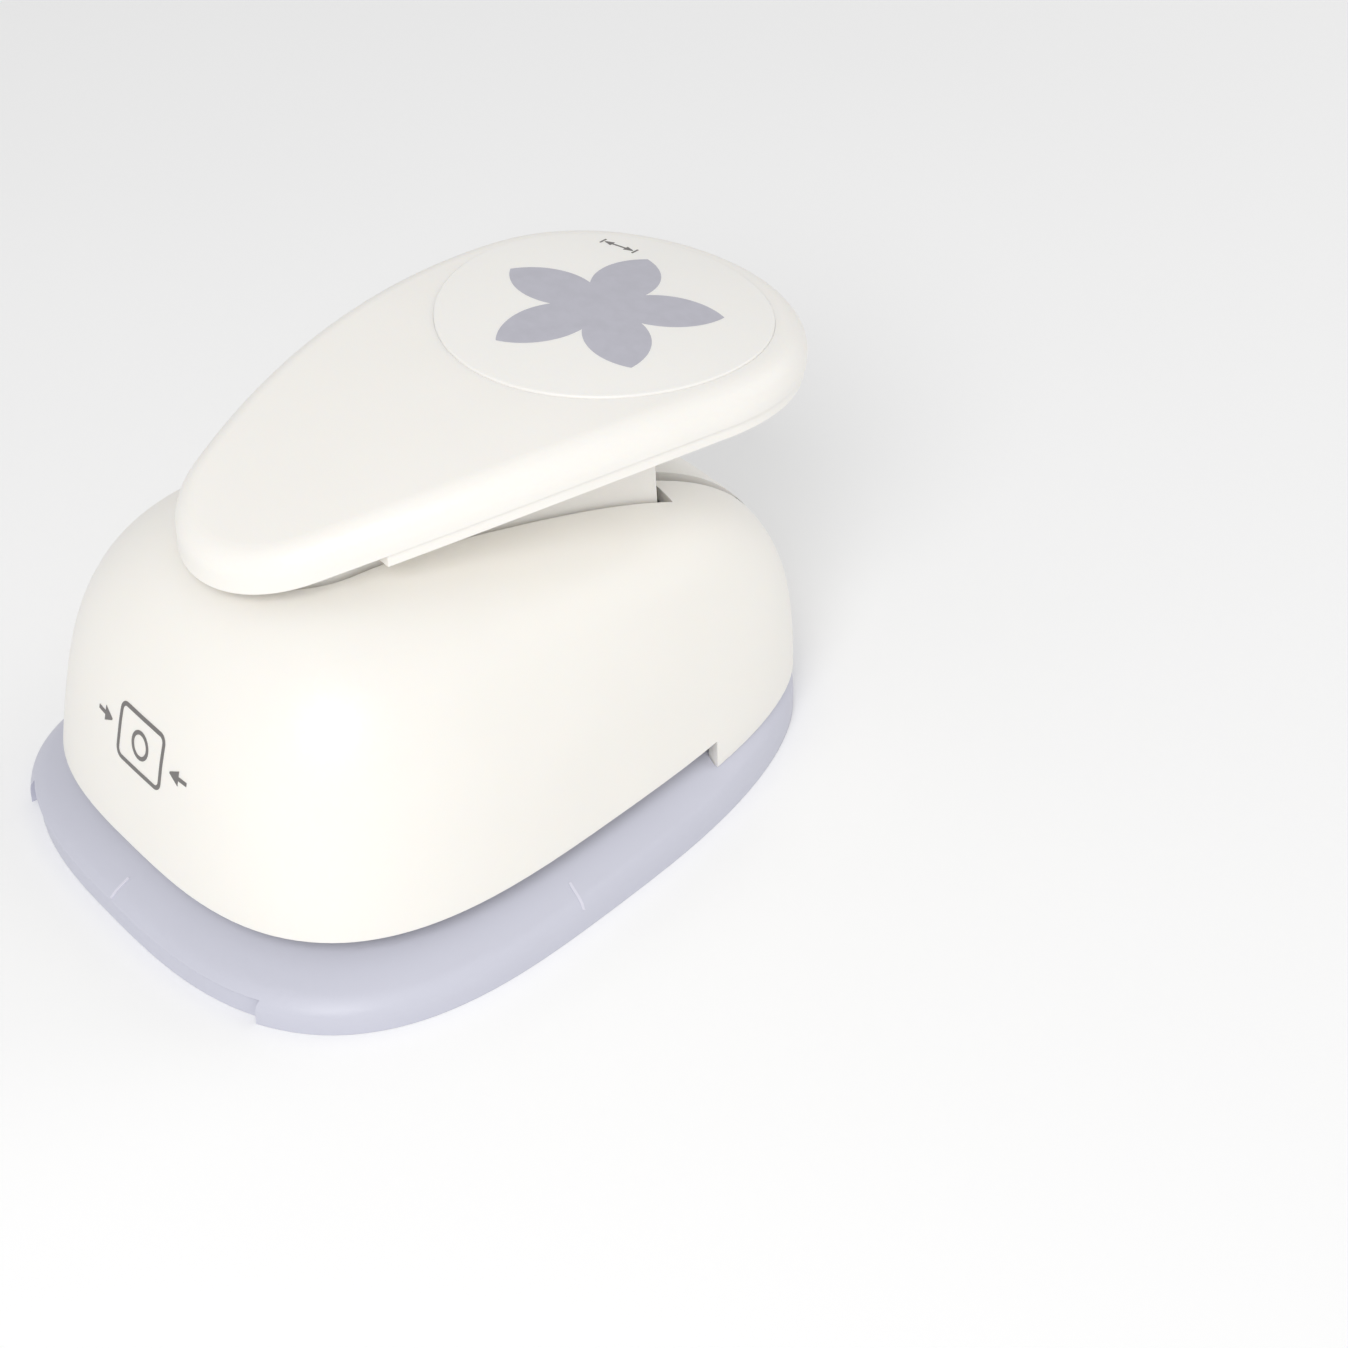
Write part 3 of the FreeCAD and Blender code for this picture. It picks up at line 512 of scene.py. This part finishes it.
def floor():
    """Large sheet of white paper just under the base."""
    mesh = bpy.data.meshes.new("floor")
    size = FLOOR_HALF_SIZE
    corners = [(-size, -size, 0), (size, -size, 0), (size, size, 0), (-size, size, 0)]
    mesh.from_pydata(corners, [], [(0, 1, 2, 3)])
    obj = bpy.data.objects.new("floor", mesh)
    bpy.context.scene.collection.objects.link(obj)
    obj.location.z = -FLOOR_DROP * MM
    shader = Shader("floor_paper")
    mottle = shader.noise(6.0, 2.0)
    shader.link(shader.mix(mottle, (0.96, 0.96, 0.96), (0.98, 0.98, 0.98)),
                shader.surface.inputs["Base Color"])
    socket_set(shader.surface, {"Roughness": 0.9})
    obj.data.materials.append(shader.material)


def direction_from(azimuth_deg, elevation_deg):
    """Unit vector from the object towards a viewer; azimuth 0 is the front, 90 the right side."""
    azimuth, elevation = math.radians(azimuth_deg), math.radians(elevation_deg)
    return Vector((math.sin(azimuth) * math.cos(elevation),
                   -math.cos(azimuth) * math.cos(elevation),
                   math.sin(elevation)))


def area_light(name, azimuth_deg, elevation_deg, distance, size, power):
    """Round soft light aimed at the origin."""
    light = bpy.data.lights.new(name, "AREA")
    light.shape = "DISK"
    light.size = size
    light.energy = power
    obj = bpy.data.objects.new(name, light)
    bpy.context.scene.collection.objects.link(obj)
    back = direction_from(azimuth_deg, elevation_deg)
    obj.location = back * distance
    obj.rotation_mode = "QUATERNION"
    obj.rotation_quaternion = back.to_track_quat("Z", "Y")


def studio():
    """White surroundings with one key light and a weak one from the rear."""
    world = bpy.data.worlds.new("studio")
    bpy.context.scene.world = world
    world.use_nodes = True
    background = world.node_tree.nodes["Background"]
    background.inputs["Color"].default_value = (1.0, 1.0, 1.0, 1.0)
    background.inputs["Strength"].default_value = SKY_STRENGTH
    area_light("key", *KEY_LIGHT)
    area_light("rear", *REAR_LIGHT)
    bpy.context.scene.view_settings.view_transform = "Standard"


def camera():
    """Camera above the front right corner."""
    data = bpy.data.cameras.new("camera")
    data.lens = CAMERA_LENS
    data.sensor_width = 36.0
    data.clip_start = 0.01
    obj = bpy.data.objects.new("camera", data)
    bpy.context.scene.collection.objects.link(obj)
    back = direction_from(CAMERA_AZIMUTH, CAMERA_ELEVATION)
    azimuth = math.radians(CAMERA_AZIMUTH)
    right = Vector((math.cos(azimuth), math.sin(azimuth), 0))
    up = back.cross(right)
    centre = Vector((0, BASE_MIDDLE_Y, 0)) * MM
    place = centre + back * CAMERA_SHIFT.z - right * CAMERA_SHIFT.x - up * CAMERA_SHIFT.y
    turn = Matrix((right, up, back)).transposed().to_4x4()
    obj.matrix_world = Matrix.Translation(place) @ turn
    bpy.context.scene.camera = obj


floor()
studio()
camera()
